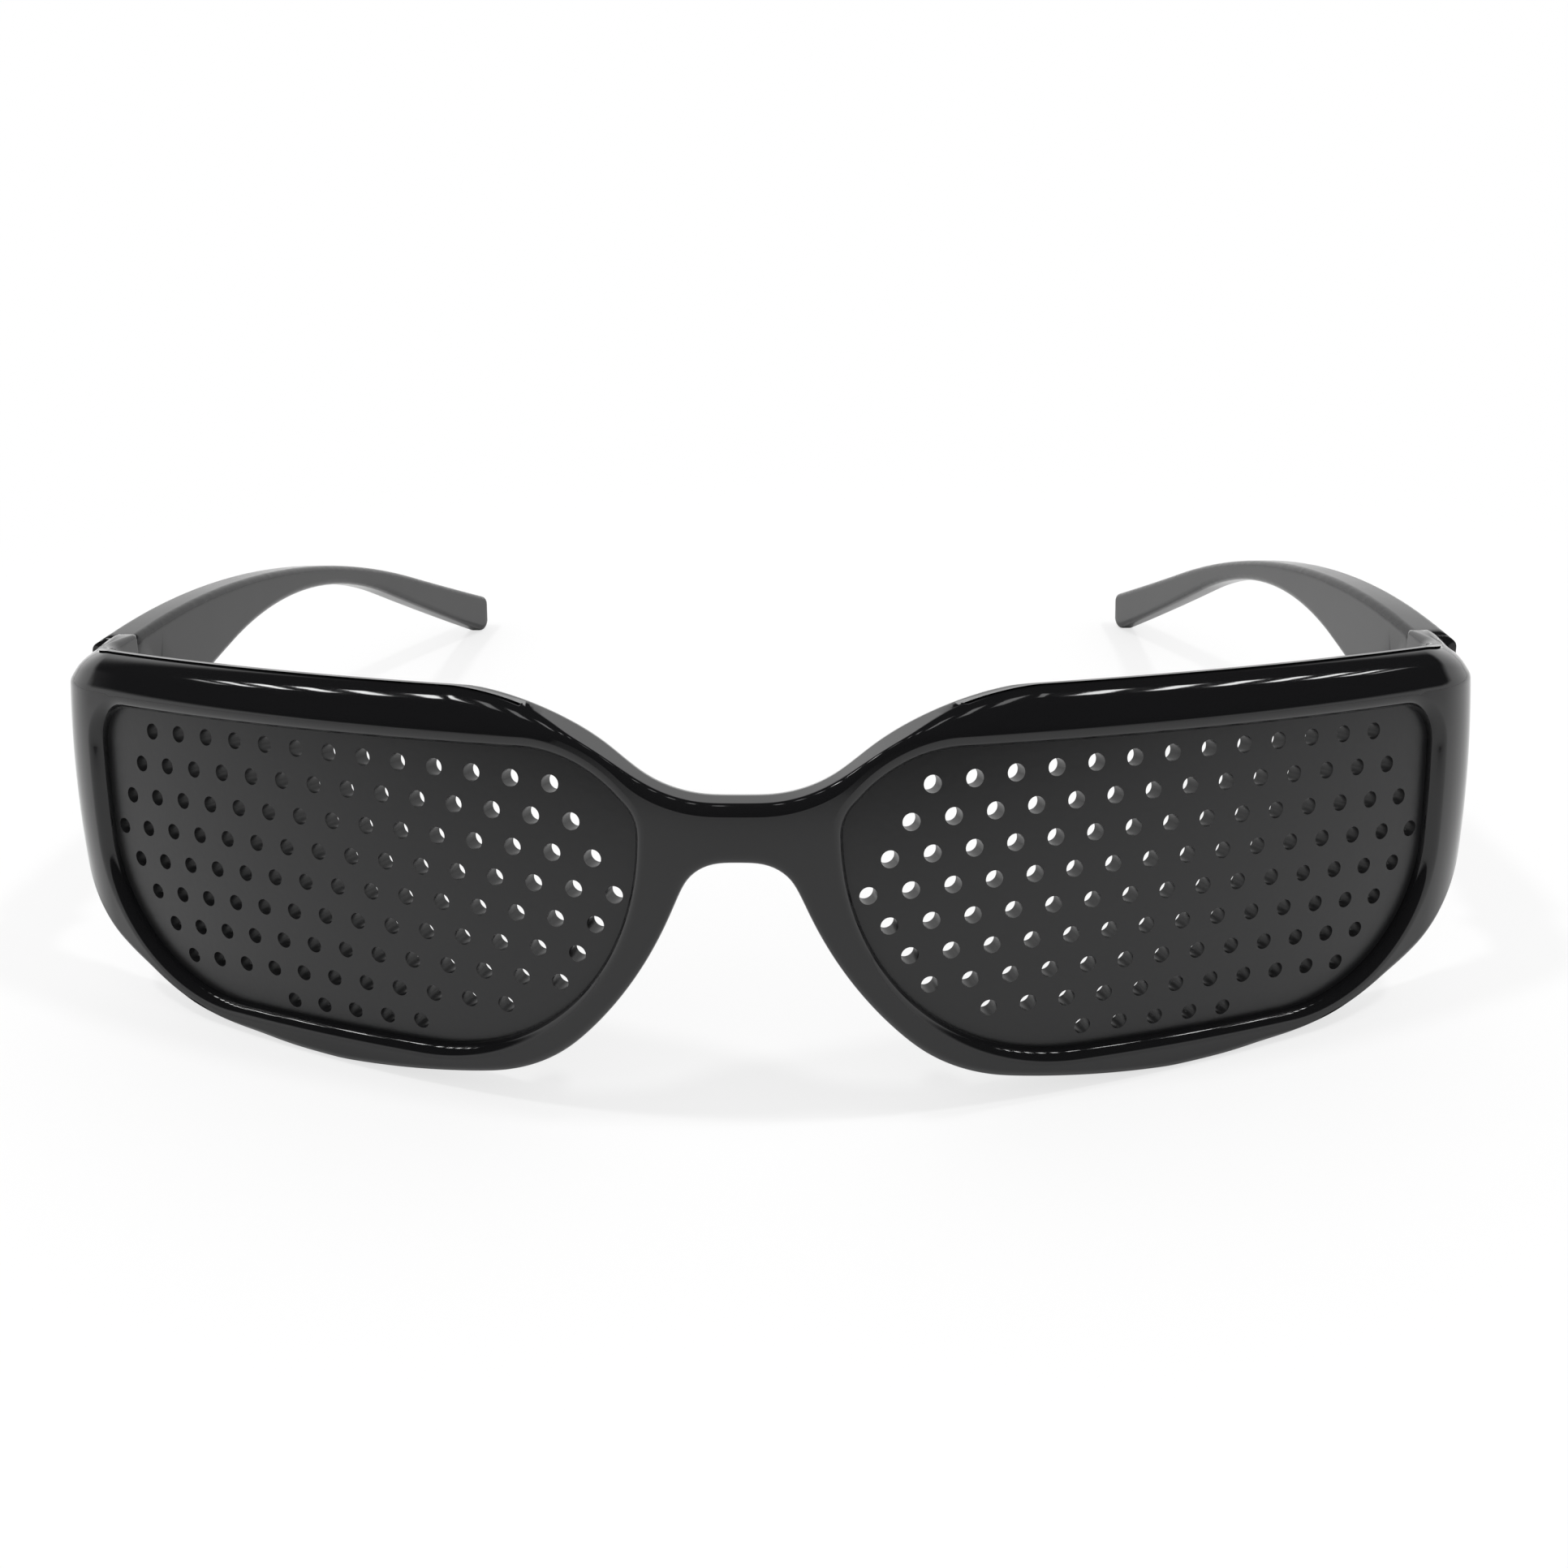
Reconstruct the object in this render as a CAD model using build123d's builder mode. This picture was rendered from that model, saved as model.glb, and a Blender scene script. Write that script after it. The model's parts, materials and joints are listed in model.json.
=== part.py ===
import os
from math import asin, atan2, cos, degrees, radians, sin, sqrt, tan
from build123d import *

# Pinhole glasses, standing on a table with both temples open.
# X runs across the face (+X is the wearer's left), Y from the front to the ear ends, Z is up.
# The origin is on the table, in the middle of the glasses. All lengths are in millimetres.

# The front leans back on its feet: its own upright frame is turned about X and set at the bridge
lean = 8.0                   # degrees that the front leans back
bridge_height = 23.8         # table to the middle height of the front, at the bridge
front_reach = 80.25          # origin to the foremost point of the bridge

# The front seen from above: three tangent arcs on each side, outer face
bridge_radius = 44.3
lens_radius = 202.0
corner_radius = 12.0
bridge_turn = 11.5           # degrees where the bridge arc meets the lens arc
corner_turn = 30.35          # degrees where the lens arc meets the corner arc
side_turn = 90.0             # degrees where the corner arc meets the straight end piece
end_piece_length = 4.0       # straight part behind the corner

# The front seen in section
height_radius = 139.5        # bow of the front face from top to bottom
rim_depth = 4.4              # front face to back face
brow_top = 18.0              # middle height up to the brow's flat top
brow_band = 14.6             # middle height up to the brow's sloping band
band_slope = 34.0            # degrees that the band leans back from upright
brow_depth = 5.6             # front face to the back of the thicker brow
brow_swell_start = 12.0      # height where the back starts to thicken
brow_swell_end = 15.0
skirt_depth = 32.0           # how far the blank runs down before the outline is cut

# The outline of one half, across and above the table
arch_height = 27.5           # underside of the bridge
arch_flat = 1.2
arch_side = (5.4, 24.5)
leg_end = (15.6, 8.6)
lower_inner = (25.2, 2.8)
foot_inner = 42.0
foot_outer = 51.0
lower_outer = (67.2, 3.0)
side_low = 16.8              # height where the side starts to run up
side_low_spare = 0.27        # outline there beyond the side
corner_top = 34.6
corner_top_spare = 0.37
brow_end = (64.0, 38.6)      # where the brow's top starts to fall towards the corner
corner_fall = 24.0           # radius of that fall
bridge_top = 32.0            # top edge over the bridge
bridge_top_flat = 3.0
swoop_start = 34.0           # degrees, steepest stretch from the bridge up to the brow
swoop_end = 6.0              # degrees where it runs out over the brow
swoop_inner_radius = 14.3
swoop_outer_radius = 31.0
top_clear = 42.0             # above everything, where the outline does not cut

# The wrapped corner is cut away below the end piece
end_piece_low = 3.9          # middle height to the end piece's underside
wrap_knee = (32.0, -7.0)     # back edge of the wrapped corner, behind the bridge and above the middle
wrap_foot = 26.5

# The openings for the two pinhole plates: a five-sided shape with rounded corners
lens_turn = 21.26            # degrees round the lens arc to the middle of the opening
opening_corners = (
    ((-26.4, 13.4), 9.0),
    ((31.3, 12.8), 4.3),
    ((31.7, -18.4), 16.3),
    ((-33.4, -18.4), 24.0),
    ((-33.4, 6.7), 2.5),
)
opening_bevel = 1.0          # bevel round the front of the opening

# The pinhole plates sit in a groove behind that bevel
plate_recess = 1.5           # rim face to plate face
plate_thickness = 1.8
plate_lap = 0.8              # plate beyond the opening
groove_spare = 0.2           # groove beyond the plate's edge
plate_clearance = 0.1        # groove behind the plate
hole_diameter = 1.7
hole_pitch = 4.04
row_pitch = 3.4
lattice_middle = (-0.6, 0.65)    # across and above the middle of the opening
row_bow = 435.0              # radius of the arc that each row follows, ends low
row_fan = 0.32               # degrees that each row turns from the one below
hole_row_shares = (          # row pitches above the widest row, holes, middle in hole pitches
    (3, 13, 0), (2, 14, 0), (1, 15, 0), (0, 16, 0), (-1, 15, 0),
    (-2, 14, 0), (-3, 13, 0), (-4, 11, 0.5), (-5, 5, 0),
)

# The nose pads are part of the front moulding
pad_middle = (11.9, -6.5)    # across, above the middle height
pad_length = 11.0
pad_width = 3.2
pad_tilt = -57.0             # degrees, along the nose leg
pad_root = 4.8               # buried start behind the bridge's outer face
pad_reach = 9.0              # how far behind it the pad ends
pad_draft = 4.0              # degrees
pad_round = 0.7

# The hinges: an axis upright in the front's own frame, just inside the end piece
barrel_radius = 1.5
leaf_thickness = 1.0
leaf_sink = 0.5              # leaf let into the plastic
leaf_length = 7.0            # axis to the far end of a leaf
leaf_low = 6.5               # middle height to the bottom of the hinge
leaf_height = 7.0
knuckle_gap = 0.15           # between two knuckles, end to end
barrel_clearance = 0.25      # plastic cleared round the barrel
leaf_clearance = 0.05        # pocket beyond a leaf's edges
screw_radius = 0.6
screw_clearance = 0.03
screw_head_radius = 1.1
screw_head_height = 0.6
screw_short = 0.5            # screw ends this far below the top of the barrel
slot_width = 0.3
slot_depth = 0.3

# The temples: a shape seen from above cut with a shape seen from the side.
# The points of the side are given behind the temple's root and above the table
temple_thickness = 4.4
temple_gap = 0.3             # between the end piece and the temple
tip_inset = 13.33            # outer face of the tip, inside the end piece's outer face
tip_thickness = 3.2
temple_straight = 6.0        # straight run behind the hinge, seen from above
temple_top = 35.2            # table to the flat start of the top edge
top_bend = 5.2               # behind the root, where the top edge starts to fall
top_fall = (92.6, 17.7)      # where it runs straight
bottom_bend = (29.2, 26.3)
bottom_fall = (82.6, 17.6)
temple_length = 121.1        # root to the tip's upper corner
tip_radius = 2.2             # round under the tip
tip_lift = 68.0              # degrees that the round runs on past the resting line
tip_round = 1.6
temple_round = 1.0

# Small roundings
ridge_round = 1.3            # ridge of the brow's sloping band
rim_round = 1.0              # outer edges at the front
back_round = 0.6             # edges at the back
corner_band = 15.5           # middle height above which an edge belongs to the brow's top
ridge_low = 0.6              # depth behind the face of the band's upper edge, from and to
ridge_high = 2.3
overrun = 30.0               # cutting tools run on past the solid
near = 0.05                  # tolerance for picking edges by their depth

front = Plane(
    origin=(0, -front_reach, bridge_height),
    x_dir=(1, 0, 0),
    z_dir=(0, sin(radians(lean)), cos(radians(lean))),
)


def on_front(across, back, up=0):
    return front.from_local_coords((across, back, up))


def front_plane(origin, x_dir, z_dir):
    return Plane(front.location * Plane(origin=origin, x_dir=x_dir, z_dir=z_dir).location)


def bow(up, radius=height_radius):
    return radius - sqrt(radius * radius - up * up)


# Centres of the three arcs seen from above, each tangent to the one before
bridge_centre = (0, bridge_radius)
turn = radians(bridge_turn)
lens_centre = (
    bridge_centre[0] + (bridge_radius - lens_radius) * sin(turn),
    bridge_centre[1] - (bridge_radius - lens_radius) * cos(turn),
)
turn = radians(corner_turn)
corner_centre = (
    lens_centre[0] + (lens_radius - corner_radius) * sin(turn),
    lens_centre[1] - (lens_radius - corner_radius) * cos(turn),
)
side_reach = corner_centre[0] + corner_radius
butt = corner_centre[1] + end_piece_length
spans = (
    (bridge_centre, bridge_radius, 0, bridge_turn),
    (lens_centre, lens_radius, bridge_turn, corner_turn),
    (corner_centre, corner_radius, corner_turn, side_turn),
)


def section_plane(centre, radius, degrees_round):
    turn = radians(degrees_round)
    origin = (centre[0] + radius * sin(turn), centre[1] - radius * cos(turn), 0)
    return front_plane(origin, (-sin(turn), cos(turn), 0), (cos(turn), sin(turn), 0))


def depth_behind_face(edge):
    point = front.to_local_coords(edge.position_at(0.5))
    for centre, radius, start, end in spans:
        across, ahead = point.X - centre[0], centre[1] - point.Y
        if start - near <= degrees(atan2(across, ahead)) <= end + near:
            return radius - sqrt(across * across + ahead * ahead) - bow(point.Z)
    return side_reach - point.X - bow(point.Z)


# Upright plane on the plate's face, square to the direction the pinholes run in
plate_radius = lens_radius - plate_recess
turn = radians(lens_turn)
plate_plane = front_plane(
    (lens_centre[0] + plate_radius * sin(turn), lens_centre[1] - plate_radius * cos(turn), 0),
    (cos(turn), sin(turn), 0),
    (sin(turn), -cos(turn), 0),
)


def opening_sketch(grow):
    with BuildSketch(plate_plane) as outline:
        with BuildLine():
            Polyline(*[point for point, radius in opening_corners], close=True)
        make_face()
        for point, radius in opening_corners:
            fillet(outline.vertices().sort_by_distance(point)[0], radius)
        if grow:
            offset(amount=grow)
    return outline.sketch


# A curved sheet between two depths behind the rim's face, for the plates and their grooves
def curved_sheet(grow, outer, inner):
    outer_radius = height_radius - outer
    inner_radius = height_radius - inner
    with BuildPart() as sheet:
        with BuildSketch(section_plane(lens_centre, lens_radius, bridge_turn - lean)):
            with BuildLine():
                outer_end = outer + bow(skirt_depth, outer_radius)
                inner_end = inner + bow(skirt_depth, inner_radius)
                ThreePointArc((outer_end, -skirt_depth), (outer, 0), (outer_end, skirt_depth))
                Line((outer_end, skirt_depth), (inner_end, skirt_depth))
                ThreePointArc((inner_end, skirt_depth), (inner, 0), (inner_end, -skirt_depth))
                Line((inner_end, -skirt_depth), (outer_end, -skirt_depth))
            make_face()
        whole_turn = corner_turn - bridge_turn + lean + lean
        revolve(axis=Axis(on_front(*lens_centre), front.z_dir), revolution_arc=whole_turn)
        extrude(opening_sketch(grow), amount=overrun, both=True, mode=Mode.INTERSECT)
    return sheet.part


# Hinge frame: origin on the axis, X outward, Y back along the temple, Z up the front's own frame
hinge_across = side_reach - temple_thickness + leaf_sink - barrel_radius
hinge_back = butt + temple_gap / 2
hinge = Plane(
    origin=on_front(hinge_across, hinge_back),
    x_dir=(1, 0, 0),
    z_dir=front.z_dir,
)
leaf_outer = barrel_radius
leaf_inner = barrel_radius - leaf_thickness
knuckle_height = (leaf_height - 2 * knuckle_gap) / 3


def on_hinge(up):
    return Plane(origin=hinge.from_local_coords((0, 0, up)), x_dir=hinge.x_dir, z_dir=hinge.z_dir)


# A leaf is a plate with one or two knuckles; back is +1 on the temple and -1 on the front
def hinge_leaf(back, knuckles):
    with BuildPart() as leaf:
        middle = (leaf_inner + leaf_outer) / 2
        start = barrel_radius + barrel_clearance
        with BuildSketch(on_hinge(leaf_low)):
            with Locations((middle, back * (start + leaf_length) / 2)):
                Rectangle(leaf_thickness, leaf_length - start)
        extrude(amount=leaf_height)
        for index in knuckles:
            low = leaf_low + index * (knuckle_height + knuckle_gap)
            with BuildSketch(on_hinge(low)):
                Circle(barrel_radius)
                with Locations((middle, back * start / 2)):
                    Rectangle(leaf_thickness, start)
            extrude(amount=knuckle_height)
        with BuildSketch(on_hinge(leaf_low)):
            Circle(screw_radius + screw_clearance)
        extrude(amount=leaf_height, mode=Mode.SUBTRACT)
    return leaf.part


# The room a leaf and the whole barrel need in the plastic
def hinge_room(back):
    with BuildPart() as room:
        with BuildSketch(on_hinge(leaf_low - leaf_clearance)):
            reach = leaf_length + leaf_clearance
            with Locations((leaf_outer - overrun / 2, back * reach / 2)):
                Rectangle(overrun, reach)
        extrude(amount=leaf_height + 2 * leaf_clearance)
        with BuildSketch(on_hinge(leaf_low + leaf_height + barrel_clearance)):
            Circle(barrel_radius + barrel_clearance)
        extrude(amount=-overrun)
    return room.part


with BuildPart() as frame_front:
    # Blank: one section swung round the three arcs, then run straight to the butt of the hinge
    band_back = bow(brow_band) + (brow_top - brow_band) * tan(radians(band_slope))
    back_radius = height_radius - rim_depth
    swell = (rim_depth + bow(brow_swell_start, back_radius), brow_swell_start)
    skirt_back = (rim_depth + bow(skirt_depth, back_radius), -skirt_depth)
    skirt_front = (bow(skirt_depth), -skirt_depth)
    for centre, radius, start, end in spans:
        with BuildSketch(section_plane(centre, radius, start)):
            with BuildLine():
                ThreePointArc(skirt_front, (0, 0), (bow(brow_band), brow_band))
                Polyline(
                    (bow(brow_band), brow_band),
                    (band_back, brow_top),
                    (brow_depth, brow_top),
                    (brow_depth, brow_swell_end),
                    swell,
                )
                ThreePointArc(swell, (rim_depth, 0), skirt_back)
                Line(skirt_back, skirt_front)
            make_face()
        revolve(axis=Axis(on_front(*centre), front.z_dir), revolution_arc=end - start)
    extrude(frame_front.faces().sort_by(Axis(front.origin, front.y_dir))[-1], amount=end_piece_length)

    # Outline seen from straight ahead, level with the table
    with BuildSketch(Plane.XZ):
        with BuildLine():
            steep = radians(swoop_start)
            shallow = radians(swoop_end)
            swoop_middle = (
                bridge_top_flat + swoop_inner_radius * sin(steep),
                bridge_top + swoop_inner_radius * (1 - cos(steep)),
            )
            swoop_out = (
                swoop_middle[0] + swoop_outer_radius * (sin(steep) - sin(shallow)),
                swoop_middle[1] + swoop_outer_radius * (cos(shallow) - cos(steep)),
            )
            swoop_clear = swoop_out[0] + (top_clear - swoop_out[1]) / tan(shallow)
            Line((0, arch_height), (arch_flat, arch_height))
            arch = TangentArc((arch_flat, arch_height), arch_side, tangent=(1, 0))
            leg = TangentArc(arch @ 1, leg_end, tangent=arch % 1)
            knee = TangentArc(leg @ 1, lower_inner, tangent=leg % 1)
            TangentArc(knee @ 1, (foot_inner, 0), tangent=knee % 1)
            Line((foot_inner, 0), (foot_outer, 0))
            heel = TangentArc((foot_outer, 0), lower_outer, tangent=(1, 0))
            flank = TangentArc(heel @ 1, (side_reach + side_low_spare, side_low), tangent=heel % 1)
            edge = Line(flank @ 1, (side_reach + corner_top_spare, corner_top))
            RadiusArc(edge @ 1, brow_end, -corner_fall)
            Polyline(brow_end, (brow_end[0], top_clear), (swoop_clear, top_clear), swoop_out)
            TangentArc(swoop_middle, swoop_out, tangent=(cos(steep), sin(steep)))
            TangentArc((bridge_top_flat, bridge_top), swoop_middle, tangent=(1, 0))
            Polyline((bridge_top_flat, bridge_top), (0, bridge_top), (0, arch_height))
        make_face()
    extrude(amount=front_reach + overrun, both=True, mode=Mode.INTERSECT)

    # Cut the wrapped corner away below the end piece
    with BuildSketch(front_plane((0, 0, 0), (0, 1, 0), (1, 0, 0))):
        with BuildLine():
            TangentArc((butt, end_piece_low), wrap_knee, tangent=(-1, 0))
            Polyline(
                wrap_knee,
                (wrap_foot, -skirt_depth),
                (butt + overrun, -skirt_depth),
                (butt + overrun, end_piece_low),
                (butt, end_piece_low),
            )
        make_face()
    extrude(amount=side_reach + overrun, mode=Mode.SUBTRACT)

    # Round the ridge of the brow, then the outline and the brow's top edge, then the back
    ridge = frame_front.edges().filter_by(
        lambda edge: depth_behind_face(edge) < near
        and abs(front.to_local_coords(edge.position_at(0.5)).Z - brow_band) < near
    )
    fillet(ridge, ridge_round)
    rim = frame_front.edges().filter_by(
        lambda edge: edge.geom_type in (GeomType.BSPLINE, GeomType.ELLIPSE)
        and depth_behind_face(edge) < near
        and abs(front.to_local_coords(edge.position_at(0.5)).Z - brow_band) > ridge_round
    )
    brow = frame_front.edges().filter_by(
        lambda edge: edge.geom_type != GeomType.LINE
        and ridge_low < depth_behind_face(edge) < ridge_high
        and front.to_local_coords(edge.position_at(0.5)).Z > corner_band
        and front.to_local_coords(edge.position_at(0.5)).Y < butt - near
    )
    fillet(rim + brow, rim_round)
    low_back = frame_front.edges().filter_by(
        lambda edge: edge.geom_type == GeomType.BSPLINE
        and abs(depth_behind_face(edge) - rim_depth) < 2 * near
        and edge.position_at(0.5).Z < bridge_top - 2 * arch_flat
    )
    fillet(low_back, back_round)
    top_back = frame_front.edges().filter_by(
        lambda edge: edge.geom_type != GeomType.LINE
        and depth_behind_face(edge) > rim_depth
        and edge.position_at(0.5).Z > brow_end[1] - near
    )
    fillet(top_back, back_round)

    # Opening for the plate, bevelled at the front
    extrude(opening_sketch(0), amount=overrun, both=True, mode=Mode.SUBTRACT)
    opening_front = frame_front.edges(Select.LAST).filter_by(
        lambda edge: edge.geom_type != GeomType.LINE and abs(depth_behind_face(edge)) < near
    )
    chamfer(opening_front, opening_bevel)

    # Nose pad, standing out behind the nose leg
    pad_plane = front_plane((pad_middle[0], pad_root, pad_middle[1]), (-1, 0, 0), (0, 1, 0))
    with BuildSketch(pad_plane):
        SlotOverall(pad_length, pad_width, rotation=-pad_tilt)
    extrude(amount=pad_reach - pad_root, taper=pad_draft)
    pad_end = frame_front.faces().filter_by(
        lambda face: abs(front.to_local_coords(face.center()).Y - pad_reach) < near
    )
    fillet(pad_end.edges(), pad_round)

    # Groove for the plate
    add(
        curved_sheet(
            plate_lap + groove_spare,
            plate_recess,
            plate_recess + plate_thickness + plate_clearance,
        ),
        mode=Mode.SUBTRACT,
    )

    # Room for the hinge
    add(hinge_room(-1), mode=Mode.SUBTRACT)
    mirror(about=Plane.YZ)
frame_front.part.label = "frame_front"


# Each pinhole runs square to the curved plate, from a plane of its own on the plate's face
def hole_plane(along, up):
    turn = radians(lens_turn) + along / plate_radius
    rise = asin(up / height_radius)
    radius = plate_radius - bow(up, height_radius - plate_recess)
    return front_plane(
        (lens_centre[0] + radius * sin(turn), lens_centre[1] - radius * cos(turn), up),
        (cos(turn), sin(turn), 0),
        (sin(turn) * cos(rise), -cos(turn) * cos(rise), sin(rise)),
    )


hole_planes = []
for row, count, middle in hole_row_shares:
    row_turn = radians(row * row_fan)
    for index in range(count):
        along = (middle + index - (count - 1) / 2) * hole_pitch
        up = row * row_pitch + along * sin(row_turn) - bow(along, row_bow)
        hole_planes.append(hole_plane(lattice_middle[0] + along, lattice_middle[1] + up))

with BuildPart() as left_lens:
    add(curved_sheet(plate_lap, plate_recess, plate_recess + plate_thickness))
    with BuildSketch(*hole_planes):
        Circle(hole_diameter / 2)
    extrude(amount=2 * plate_thickness, both=True, mode=Mode.SUBTRACT)
left_lens.part.label = "left_lens"

with BuildPart() as left_temple:
    # Seen from above
    front_edge = butt + temple_gap
    root_top_up = (temple_top - on_front(0, front_edge).Z) / cos(radians(lean))
    root_top = on_front(0, front_edge, root_top_up)
    root_low = on_front(0, front_edge, end_piece_low)
    inner_reach = side_reach - temple_thickness
    tip_outer = side_reach - tip_inset
    tip_inner = tip_outer - tip_thickness
    tip_back = root_low.Y + temple_length
    bend = root_low.Y + temple_straight
    with BuildSketch(Plane.XY):
        with BuildLine():
            Polyline((inner_reach, bend), (inner_reach, bend - overrun), (side_reach, bend - overrun))
            Line((side_reach, bend - overrun), (side_reach, bend))
            TangentArc((side_reach, bend), (tip_outer, tip_back), tangent=(0, 1))
            Polyline((tip_outer, tip_back), (tip_outer, tip_back + overrun), (tip_inner, tip_back + overrun))
            Line((tip_inner, tip_back + overrun), (tip_inner, tip_back))
            TangentArc((inner_reach, bend), (tip_inner, tip_back), tangent=(0, 1))
        make_face()
    extrude(amount=temple_top + overrun, both=True)

    # Seen from the side, with a round tip that rests on the table
    with BuildSketch(Plane.YZ) as side:
        with BuildLine():
            top_start = (root_low.Y + top_bend, temple_top)
            Line((root_top.Y, temple_top), top_start)
            top = TangentArc(top_start, (root_low.Y + top_fall[0], top_fall[1]), tangent=(1, 0))
            top_slope = (top % 1).Y / (top % 1).X
            tip_top = (tip_back, top_fall[1] + top_slope * (temple_length - top_fall[0]))
            Line(top @ 1, tip_top)
            low_start = (root_low.Y + bottom_bend[0], bottom_bend[1])
            rise = (bottom_bend[0], bottom_bend[1] - root_low.Z)
            under = TangentArc(low_start, (root_low.Y + bottom_fall[0], bottom_fall[1]), tangent=rise)
            slope = atan2(-(under % 1).Y, (under % 1).X)
            tip_start_up = tip_radius * (1 - cos(slope))
            tip_start_back = (under @ 1).X + (bottom_fall[1] - tip_start_up) / tan(slope)
            tip_rest = (tip_start_back + tip_radius * sin(slope), 0)
            lift = radians(tip_lift)
            tip_low = (tip_rest[0] + tip_radius * sin(lift), tip_radius * (1 - cos(lift)))
            Line(under @ 1, (tip_start_back, tip_start_up))
            TangentArc((tip_start_back, tip_start_up), tip_rest, tangent=(cos(slope), -sin(slope)))
            TangentArc(tip_rest, tip_low, tangent=(1, 0))
            Polyline(tip_low, tip_top)
            Polyline(low_start, (root_low.Y, root_low.Z), (root_top.Y, temple_top))
        make_face()
        fillet(side.vertices().sort_by_distance(tip_top)[0], tip_round)
    extrude(amount=side_reach + overrun, mode=Mode.INTERSECT)

    # Round every edge that runs along the temple, from the hinge to the tip and back
    along = left_temple.edges().filter_by(
        lambda edge: abs((edge % 0.5).X) < abs((edge % 0.5).Y) + abs((edge % 0.5).Z)
        and abs(front.to_local_coords(edge @ 0.5).Y - front_edge) > near
        and (abs((edge % 0.5).Y) > near or (edge @ 0.5).Y > root_low.Y + top_fall[0])
    )
    fillet(along, temple_round)
    add(hinge_room(1), mode=Mode.SUBTRACT)
left_temple.part.label = "left_temple"

left_front_leaf = hinge_leaf(-1, (0, 2))
left_front_leaf.label = "left_front_hinge_leaf"
left_temple_leaf = hinge_leaf(1, (1,))
left_temple_leaf.label = "left_temple_hinge_leaf"

with BuildPart() as left_screw:
    with BuildSketch(on_hinge(leaf_low)):
        Circle(screw_radius)
    extrude(amount=leaf_height - screw_short)
    with BuildSketch(on_hinge(leaf_low)):
        Circle(screw_head_radius)
    extrude(amount=-screw_head_height)
    with BuildSketch(on_hinge(leaf_low - screw_head_height)):
        Rectangle(2 * barrel_radius, slot_width)
    extrude(amount=slot_depth, mode=Mode.SUBTRACT)
left_screw.part.label = "left_hinge_screw"

os.makedirs("parts", exist_ok=True)
export_step(frame_front.part, "parts/frame_front.step")
for left_part in (left_lens.part, left_temple.part, left_front_leaf, left_temple_leaf, left_screw.part):
    with BuildPart() as right_part:
        mirror(left_part, about=Plane.YZ)
    right_part.part.label = left_part.label.replace("left_", "right_")
    export_step(left_part, "parts/" + left_part.label + ".step")
    export_step(right_part.part, "parts/" + right_part.part.label + ".step")
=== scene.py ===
import json
from math import asin, atan2, cos, pi, radians, sin, sqrt, tan
import bmesh
import bpy
import numpy as np
from mathutils import Matrix, Vector
from mathutils.geometry import delaunay_2d_cdt
from mathutils.kdtree import KDTree


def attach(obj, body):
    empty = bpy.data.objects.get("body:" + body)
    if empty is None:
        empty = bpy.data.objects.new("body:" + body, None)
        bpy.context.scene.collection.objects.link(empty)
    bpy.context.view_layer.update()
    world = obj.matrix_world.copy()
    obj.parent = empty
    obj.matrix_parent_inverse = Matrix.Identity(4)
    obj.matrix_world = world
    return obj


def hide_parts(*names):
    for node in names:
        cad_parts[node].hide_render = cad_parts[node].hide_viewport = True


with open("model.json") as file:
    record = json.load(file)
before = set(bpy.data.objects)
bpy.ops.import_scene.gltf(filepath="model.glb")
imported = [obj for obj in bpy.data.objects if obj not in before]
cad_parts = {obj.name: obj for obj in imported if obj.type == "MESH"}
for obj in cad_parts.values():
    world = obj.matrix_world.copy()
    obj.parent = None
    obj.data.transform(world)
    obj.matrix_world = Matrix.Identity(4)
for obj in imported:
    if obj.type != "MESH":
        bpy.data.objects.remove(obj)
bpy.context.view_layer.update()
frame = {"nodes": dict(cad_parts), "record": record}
print("frame loaded:", sorted(frame["nodes"]))


# Shader maths: a wrapped socket takes part in plain expressions
class Socket:
    def __init__(self, tree, socket):
        self.tree = tree
        self.socket = socket

    def maths(self, operation, *values):
        node = self.tree.nodes.new("ShaderNodeMath")
        node.operation = operation
        for place, value in enumerate(values):
            feed(self.tree, node.inputs[place], value)
        return Socket(self.tree, node.outputs[0])

    def __add__(self, other):
        return self.maths("ADD", self, other)

    def __radd__(self, other):
        return self.maths("ADD", other, self)

    def __sub__(self, other):
        return self.maths("SUBTRACT", self, other)

    def __rsub__(self, other):
        return self.maths("SUBTRACT", other, self)

    def __mul__(self, other):
        return self.maths("MULTIPLY", self, other)

    def __rmul__(self, other):
        return self.maths("MULTIPLY", other, self)


def feed(tree, slot, value):
    if isinstance(value, Socket):
        tree.links.new(value.socket, slot)
    else:
        slot.default_value = value


# Any other node: its type, its settings, then the values or links of its sockets
def addNode(tree, kind, settings=None, output=0, **sockets):
    node = tree.nodes.new(kind)
    for name, value in (settings or {}).items():
        setattr(node, name, value)
    for name, value in sockets.items():
        feed(tree, node.inputs[name.replace("_", " ")], value)
    return Socket(tree, node.outputs[output])


def newMaterial(name, baseColor, specular=0.5):
    material = bpy.data.materials.new(name)
    material.use_nodes = True
    tree = material.node_tree
    shader = tree.nodes["Principled BSDF"]
    shader.inputs["Base Color"].default_value = (*baseColor, 1)
    shader.inputs["Specular IOR Level"].default_value = specular
    place = addNode(tree, "ShaderNodeTexCoord", output=3)
    return material, tree, shader, place


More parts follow.
